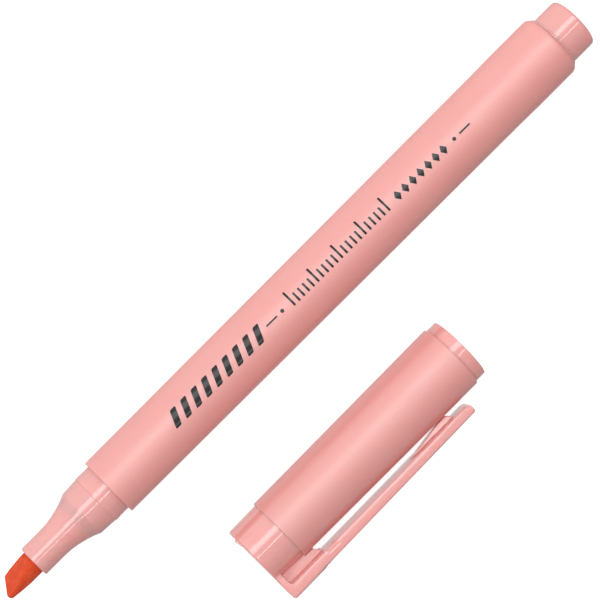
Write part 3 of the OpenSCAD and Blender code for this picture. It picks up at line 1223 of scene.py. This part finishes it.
@dataclass
class CrownClip:
    """The glossy crown and the clip that is moulded on it.

    The frame's x runs from the crown's end face to the mouth, and its y is the height over the cap's axis
    on the clip's side.
    """

    palette: Palette
    cap: Cap
    crown_r: float = 5.14
    crown_draft: float = 0.08
    crown_bore_r: float = 4.02
    crown_wall: float = 0.9
    stub_r: float = 4.92
    stub_len: float = 5.0
    end_round: float = 0.3
    end_round_steps: int = 5
    end_deg: float = 30.0         # the end face's border is sharper than this
    stub_play: float = 0.02       # gap between the stub and the crown's head
    stub_lip: float = 0.6         # length of the lip that holds the stub in the head
    stub_lip_step: float = 0.3    # step from the crown's radius to the lip's
    stub_edge: float = 0.3
    stub_bore_edge: float = 0.15
    tab_w: float = 1.2            # the small wedge on the end face
    tab_h: float = 0.34
    tab_near: float = 1.9
    tab_far: float = 3.5
    tab_round: float = 0.1
    width: float = 5.4
    length: float = 39.2
    inner: float = 6.92           # height of the inner face at the root
    inner_tip: float = 6.62
    outer: float = 8.8
    outer_tip: float = 8.16
    pad_out: float = 8.98
    pad_len: float = 6.8
    pad_fall: float = 0.2         # the pad's slope starts this far ahead of its end
    pad_run: float = 0.15         # and ends this far behind it
    plate_t: float = 1.12
    corner_round: float = 0.7
    tip_round: float = 0.25
    pocket_round: float = 0.6
    root_fillet: float = 0.75
    root_fillet_steps: int = 6
    root_deg: float = 20.0        # the fillet's edges are sharper than this
    back_round: float = 0.45      # rounding along the bar's outer face
    back_steps: int = 5
    edge_round: float = 0.14      # rounding of the other edges
    edge_steps: int = 3
    edge_deg: float = 38.0        # the other edges are rounded when they are sharper than this
    flat_deg: float = 0.3         # faces that meet at less than this become one
    lead_len: float = 0.8         # slope under the clip's tip
    lead_h: float = 0.25
    lead_tip_round: float = 0.2
    lead_root_round: float = 0.3
    web_t: float = 1.2
    web_len: float = 8.1
    web_gap: float = 0.06
    web_scoop: float = 0.8
    web_scoop_share: float = 0.98         # share of the scoop that its arc takes
    ridge_h: float = 0.14
    ridge_start: float = 2.0      # the ridge starts this far behind the web
    crest_from: float = 1.0       # points further behind the web than this can be on the crest
    crest_above: float = 0.05     # and they are no further above the inner face than this
    wall_reach: float = 0.5       # what is this near to the crown's bore belongs to its wall
    nub_w: float = 1.6
    nub_start: float = 26.65
    nub_top_start: float = 33.75
    nub_top_end: float = 35.45
    nub_end: float = 36.35
    nub_top_round: float = 0.6
    nub_end_round: float = 0.25
    bend_start: float = 8.235     # the clip bends between these two places
    bend_end: float = 10.735
    bend_pitch: float = 0.25
    sunk: float = 0.4             # depth by which one solid is sunk into another
    touch: float = 0.01           # places closer than this are taken as the same

    def placing(self) -> Placing:
        """The cap's frame, turned so that y points to the clip."""
        return Placing(self.cap.placing().origin, 180.0)

    def inner_at(self, x: float) -> float:
        """Height of the clip's inner face over the cap's axis."""
        return self.inner + (self.inner_tip - self.inner) * x / self.length

    def sleeve_at(self, x: float) -> float:
        """Radius of the sleeve."""
        growth = self.cap.sleeve_r1 - self.cap.sleeve_r0
        return self.cap.sleeve_r0 + growth * (x - self.cap.crown_len) / self.cap.sleeve_len

    def head(self) -> bmesh.types.BMesh:
        """The hollow crown outside the sleeve, with a sharp end edge.

        Returns:
            The closed solid.
        """
        face = self.cap.crown_len
        return turned([
            Corner(0, 0), Corner(0, self.crown_r - self.crown_draft), Corner(face, self.crown_r),
            Corner(face, self.crown_bore_r), Corner(self.crown_wall, self.crown_bore_r),
            Corner(self.crown_wall, 0),
        ], closed=False)

    def bar(self) -> bmesh.types.BMesh:
        """The end plate and the bar, with the ridge along the bar's inner face.

        Returns:
            The closed solid.
        """
        lead = self.length - self.lead_len
        outer_at_pad = self.outer + (self.outer_tip - self.outer) * self.pad_len / self.length
        bm = slab([
            Corner(0, 0), Corner(0, self.pad_out, self.corner_round),
            Corner(self.pad_len - self.pad_fall, self.pad_out),
            Corner(self.pad_len + self.pad_run, outer_at_pad),
            Corner(self.length, self.outer_tip, self.tip_round),
            Corner(self.length, self.inner_tip + self.lead_h, self.lead_tip_round),
            Corner(lead, self.inner_at(lead), self.lead_root_round),
            Corner(self.plate_t, self.inner, self.pocket_round), Corner(self.plate_t, 0),
        ], self.width)
        self.round_back(bm)
        self.raise_ridge(bm, lead)
        return bm

    def round_back(self, bm: bmesh.types.BMesh) -> None:
        """Rounds the two long edges of the bar's outer face.

        Args:
            bm: the bar.
        """
        slope = (self.outer - self.outer_tip) / self.length
        back = Vector((slope, 1, 0)).normalized()
        for side in (1, -1):
            centre = Vector((0, self.outer - self.back_round, side * (self.width / 2 - self.back_round)))
            for i in range(1, self.back_steps):
                angle = math.pi / 2 * i / self.back_steps
                normal = back * math.cos(angle) + Vector((0, 0, side * math.sin(angle)))
                shave(bm, centre + normal * self.back_round, normal)

    def raise_ridge(self, bm: bmesh.types.BMesh, lead: float) -> None:
        """Raises the middle of the bar's inner face to a low ridge.

        Args:
            bm: the bar.
            lead: where the slope under the tip starts.
        """
        start = self.web_len + self.ridge_start
        for point, normal in (((0, 0, 0), (0, 0, 1)), ((start, 0, 0), (1, 0, 0))):
            geom = bm.verts[:] + bm.edges[:] + bm.faces[:]
            bmesh.ops.bisect_plane(bm, geom=geom, dist=WELD, plane_co=point, plane_no=normal)
        crest = [v for v in bm.verts if abs(v.co.z) < WELD
                 and self.web_len + self.crest_from < v.co.x < lead + self.touch
                 and v.co.y < self.inner_at(v.co.x) + self.crest_above]
        bmesh.ops.translate(bm, verts=crest, vec=(0, -self.ridge_h, 0))

    def web(self) -> bmesh.types.BMesh:
        """The web between crown and bar, with a hollow free end.

        Returns:
            The closed solid.
        """
        low = self.crown_r - self.sunk
        high = self.inner + self.sunk
        over = self.sleeve_at(self.web_len) + self.web_gap
        face = self.cap.crown_len - self.web_gap
        start = self.plate_t - self.sunk
        scoop = self.web_scoop
        return slab([
            Corner(start, low), Corner(face, low), Corner(face, over), Corner(self.web_len - scoop, over),
            Corner(self.web_len - scoop, over + scoop, scoop * self.web_scoop_share),
            Corner(self.web_len, over + scoop), Corner(self.web_len, high), Corner(start, high),
        ], self.web_t)

    def nub(self) -> bmesh.types.BMesh:
        """The nub under the clip's tip that grips a pocket's edge.

        Returns:
            The closed solid.
        """
        top = self.sleeve_at(self.nub_top_end) + self.web_gap
        base = self.inner_at(self.nub_top_end)
        return slab([
            Corner(self.nub_start, base), Corner(self.nub_top_start, top, self.nub_top_round),
            Corner(self.nub_top_end, top, self.nub_end_round), Corner(self.nub_end, base),
            Corner(self.nub_top_end, base + self.sunk), Corner(self.nub_start, base + self.sunk),
        ], self.nub_w)

    def tab(self) -> bmesh.types.BMesh:
        """The small wedge on the crown's end face.

        Returns:
            The closed solid.
        """
        return slab([
            Corner(self.sunk, -self.tab_near), Corner(0, -self.tab_near),
            Corner(-self.tab_h, -self.tab_far, self.tab_round), Corner(self.sunk, -self.tab_far),
        ], self.tab_w)

    def on_tab(self, edge: bmesh.types.BMEdge) -> bool:
        """Decides whether an edge belongs to the wedge on the end face.

        Args:
            edge: an edge of the fused solid.

        Returns:
            True on the wedge and where it meets the end face.
        """
        near = self.tab_near - self.touch
        far = self.tab_far + self.touch
        flank = self.tab_w / 2 + self.touch
        return all(v.co.x < self.touch and abs(v.co.z) < flank and near < -v.co.y < far for v in edge.verts)

    def shows(self, edge: bmesh.types.BMEdge) -> bool:
        """Decides whether a sharp edge is rounded.

        Args:
            edge: a sharp edge of the fused solid.

        Returns:
            False inside the crown, where it meets the sleeve and on the wedge of its end face.
        """
        middle = (edge.verts[0].co + edge.verts[1].co) / 2
        from_axis = math.hypot(middle.y, middle.z)
        near = 2 * self.touch
        at_joint = abs(middle.x - self.cap.crown_len) < near and from_axis < self.crown_r + near
        inside = middle.x < self.cap.crown_len + near and from_axis < self.crown_bore_r + self.wall_reach
        return not (at_joint or inside or self.on_tab(edge))

    def roots(self, bm: bmesh.types.BMesh) -> list[bmesh.types.BMEdge]:
        """Finds the edges along which the crown's side meets the bar's flanks.

        Args:
            bm: the fused solid.

        Returns:
            The edges.
        """
        flank = self.width / 2
        return [e for e in sharp_edges(bm, self.root_deg)
                if all(abs(abs(v.co.z) - flank) < self.touch and v.co.y < self.crown_r for v in e.verts)
                and abs(e.verts[0].co.x - e.verts[1].co.x) > self.end_round]

    def rim(self, bm: bmesh.types.BMesh) -> list[bmesh.types.BMEdge]:
        """Finds the border of the end face, without the wedge.

        Args:
            bm: the fused solid.

        Returns:
            The edges.
        """
        return [e for e in sharp_edges(bm, self.end_deg)
                if all(abs(v.co.x) < self.touch for v in e.verts) and not self.on_tab(e)]

    def build(self) -> None:
        """Fuses the solids, rounds the edges and cuts the bar into strips where it bends at its root."""
        bm = fused([self.head(), self.bar(), self.web(), self.nub(), self.tab()])
        bmesh.ops.remove_doubles(bm, verts=bm.verts[:], dist=WELD)
        bmesh.ops.dissolve_limit(bm, angle_limit=math.radians(self.flat_deg), verts=bm.verts[:],
                                 edges=bm.edges[:])
        soften(bm, self.roots(bm), self.root_fillet, self.root_fillet_steps)
        soften(bm, self.rim(bm), self.end_round, self.end_round_steps)
        others = [e for e in sharp_edges(bm, self.edge_deg) if self.shows(e)]
        soften(bm, others, self.edge_round, self.edge_steps)
        slice_along(bm, Vector((1, 0, 0)), self.bend_start, self.bend_end, self.bend_pitch)
        placing = self.placing()
        piece = add_piece("crown_and_clip", bm, placing, self.palette.of(self.palette.gloss_shell),
                          ["cap_crown", "clip_blade"])
        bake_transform(piece)
        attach(self.stub(), Body.CAP.value)

    def stub(self) -> bpy.types.Object:
        """Makes the crown's stub, which sits inside the sleeve.

        Returns:
            The stub.
        """
        face = self.cap.crown_len
        end = face + self.stub_len
        bore_r = self.crown_bore_r - self.stub_play
        lip_r = self.crown_r - self.stub_lip_step
        profile = [
            Corner(face - self.stub_lip, bore_r), Corner(face - self.stub_lip, lip_r),
            Corner(face - self.stub_play, lip_r), Corner(face - self.stub_play, self.stub_r),
            Corner(end, self.stub_r, self.stub_edge), Corner(end, bore_r, self.stub_bore_edge),
        ]
        return add_piece("crown_stub", turned(profile), self.placing(),
                         self.palette.of(self.palette.gloss_shell))


# ---------------------------------------------------------------- studio


@dataclass(frozen=True)
class Strip:
    """A long soft light that runs along X; angles are seen from the object."""

    name: str
    lean_deg: float               # from straight up towards +Y
    spread_deg: float             # its width
    radiance: float
    distance: float = 1.0         # in metres
    length: float = 3.6           # in metres

    def hang(self) -> None:
        """Hangs the light over the origin."""
        lamp = bpy.data.lights.new(self.name, "AREA")
        lamp.shape = "RECTANGLE"
        lamp.size = self.length
        lamp.size_y = 2 * self.distance * math.tan(math.radians(self.spread_deg) / 2)
        lamp.energy = self.radiance * math.pi * lamp.size * lamp.size_y
        holder = bpy.data.objects.new(self.name, lamp)
        lean = math.radians(self.lean_deg)
        holder.location = Vector((0, math.sin(lean), math.cos(lean))) * self.distance
        holder.rotation_euler = (-lean, 0, 0)
        bpy.context.scene.collection.objects.link(holder)


@dataclass(frozen=True)
class Glow:
    """A part of the white room that is brighter, with a soft border."""

    lean_deg: float               # its middle, from straight up towards +Y
    reach_deg: float              # angle from its middle to where it has faded out
    radiance: float

    def direction(self) -> Vector:
        """The unit vector from the object to its middle."""
        lean = math.radians(self.lean_deg)
        return Vector((0, math.sin(lean), math.cos(lean)))

    def shine(self, tree: bpy.types.NodeTree, ray: bpy.types.NodeSocket,
              rest: bpy.types.NodeSocket) -> bpy.types.NodeSocket:
        """Adds the glow to the room.

        Args:
            tree: the world's nodes.
            ray: output that gives a ray's direction.
            rest: output that gives the radiance without this glow.

        Returns:
            The output that gives the radiance with it.
        """
        toward = tree.nodes.new("ShaderNodeVectorMath")
        toward.operation = "DOT_PRODUCT"
        toward.inputs[1].default_value = self.direction()
        tree.links.new(ray, toward.inputs[0])
        fade = tree.nodes.new("ShaderNodeMapRange")
        fade.interpolation_type = "SMOOTHSTEP"
        fade.inputs["From Min"].default_value = math.cos(math.radians(self.reach_deg))
        fade.inputs["To Max"].default_value = self.radiance
        tree.links.new(toward.outputs["Value"], fade.inputs["Value"])
        total = tree.nodes.new("ShaderNodeMath")
        tree.links.new(fade.outputs["Result"], total.inputs[0])
        tree.links.new(rest, total.inputs[1])
        return total.outputs["Value"]


@dataclass
class Studio:
    """Light table, white room with soft glows, light strips and camera."""

    palette: Palette
    dome: float = 0.42            # radiance of the white room
    glows: tuple[Glow, ...] = (
        Glow(lean_deg=78.0, reach_deg=90.0, radiance=0.72),
        Glow(lean_deg=-8.0, reach_deg=62.0, radiance=0.34),
        Glow(lean_deg=180.0, reach_deg=45.0, radiance=0.5),
    )
    strips: tuple[Strip, ...] = (
        Strip("key_strip", lean_deg=20.0, spread_deg=18.0, radiance=1.8),
        Strip("thin_strip", lean_deg=-8.0, spread_deg=3.0, radiance=3.4),
    )
    floor_size: float = 6.0       # in metres
    lean_x_deg: float = 4.9       # lean of the view towards -X
    lean_y_deg: float = 6.0       # lean of the view towards +Y
    aim_x: float = 1.24           # millimetres from the middle of the lay-out
    aim_y: float = -0.48          # millimetres from the pen's axis
    distance: float = 0.471       # of the camera, in metres
    lens: float = 188.4           # focal length in millimetres
    sensor: float = 36.0          # width in millimetres

    def build(self) -> None:
        """Makes floor, light and camera."""
        self.floor()
        self.light()
        self.camera()

    def floor(self) -> None:
        """Lays the white sheet that everything lies on."""
        bm = bmesh.new()
        bmesh.ops.create_grid(bm, x_segments=4, y_segments=4, size=self.floor_size / 2)
        mesh = bpy.data.meshes.new("table_sheet")
        bm.to_mesh(mesh)
        bm.free()
        mesh.materials.append(self.palette.of(self.palette.table))
        sheet = bpy.data.objects.new("table_sheet", mesh)
        bpy.context.scene.collection.objects.link(sheet)
        sheet.visible_diffuse = False
        sheet.visible_glossy = False

    def light(self) -> None:
        """Lights the white room and hangs the strips."""
        world = bpy.data.worlds.new("white_room")
        world.use_nodes = True
        tree = world.node_tree
        background = tree.nodes["Background"]
        background.inputs["Color"].default_value = WHITE
        ray = tree.nodes.new("ShaderNodeTexCoord").outputs["Generated"]
        total = tree.nodes.new("ShaderNodeValue").outputs[0]
        total.default_value = self.dome
        for glow in self.glows:
            total = glow.shine(tree, ray, total)
        tree.links.new(total, background.inputs["Strength"])
        bpy.context.scene.world = world
        for strip in self.strips:
            strip.hang()

    def camera(self) -> None:
        """Places the camera nearly straight above, with the pen along the picture's diagonal."""
        lens = bpy.data.cameras.new("camera")
        lens.lens = self.lens
        lens.sensor_width = self.sensor
        lens.clip_start = 0.01
        camera = bpy.data.objects.new("camera", lens)
        lean_x = math.tan(math.radians(self.lean_x_deg))
        lean_y = math.tan(math.radians(self.lean_y_deg))
        back = Vector((-lean_x, lean_y, 1)).normalized()
        along = (Vector((1, 0, 0)) - back * back.x).normalized()
        across = along.cross(back)
        right = (along + across).normalized()
        up = (along - across).normalized()
        pen = low_end("barrel")
        aim = Vector((self.aim_x * MM, pen.y + self.aim_y * MM, pen.z))
        turn = Matrix((right, up, back)).transposed().to_4x4()
        camera.matrix_world = Matrix.Translation(aim + back * self.distance) @ turn
        bpy.context.scene.collection.objects.link(camera)
        bpy.context.scene.camera = camera
        bpy.context.scene.view_settings.view_transform = "Standard"


def main() -> None:
    """Builds the pen, the cap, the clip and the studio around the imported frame."""
    logging.basicConfig(level=logging.INFO, format="%(name)s %(message)s")
    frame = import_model()
    palette = Palette()
    Pen(palette).build(frame)
    cap = Cap(palette)
    cap.build()
    CrownClip(palette, cap).build()
    Studio(palette).build()
    bpy.context.view_layer.update()


if __name__ == "__main__":
    main()
